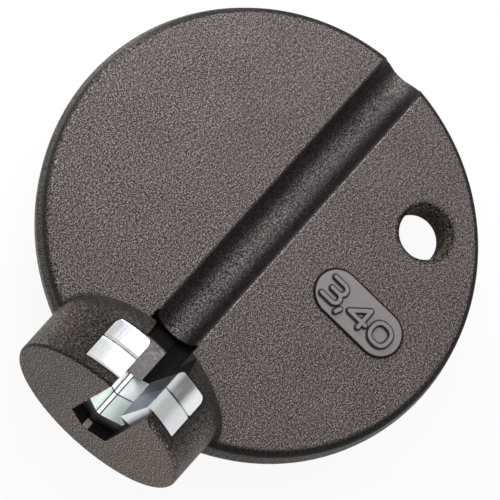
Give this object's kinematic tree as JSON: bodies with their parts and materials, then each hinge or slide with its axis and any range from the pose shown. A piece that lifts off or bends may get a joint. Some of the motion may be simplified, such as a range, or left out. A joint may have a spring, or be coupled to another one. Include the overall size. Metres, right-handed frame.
{
  "type": "spoke wrench",
  "caption": "Round flat spoke wrench: a grooved finger disc with a stubby slotted head whose steel jaw plates grip and turn a bicycle spoke nipple.",
  "frame": {"origin": "on the nipple's axis, in the plane of the head's end face", "axes": "+X along the spoke from the head's end face towards the hub, +Z the outward normal of the disc's grooved face"},
  "size_m": [0.0426, 0.04, 0.0171],
  "materials": {
    "grey_plastic": "fine moulded grain",
    "zinc_steel": "bright zinc plated, stamped"
  },
  "bodies": {
    "root": {"body": "grey_plastic", "front_jaw_plate": "zinc_steel", "rear_jaw_plate": "zinc_steel"}
  },
  "joints": []
}
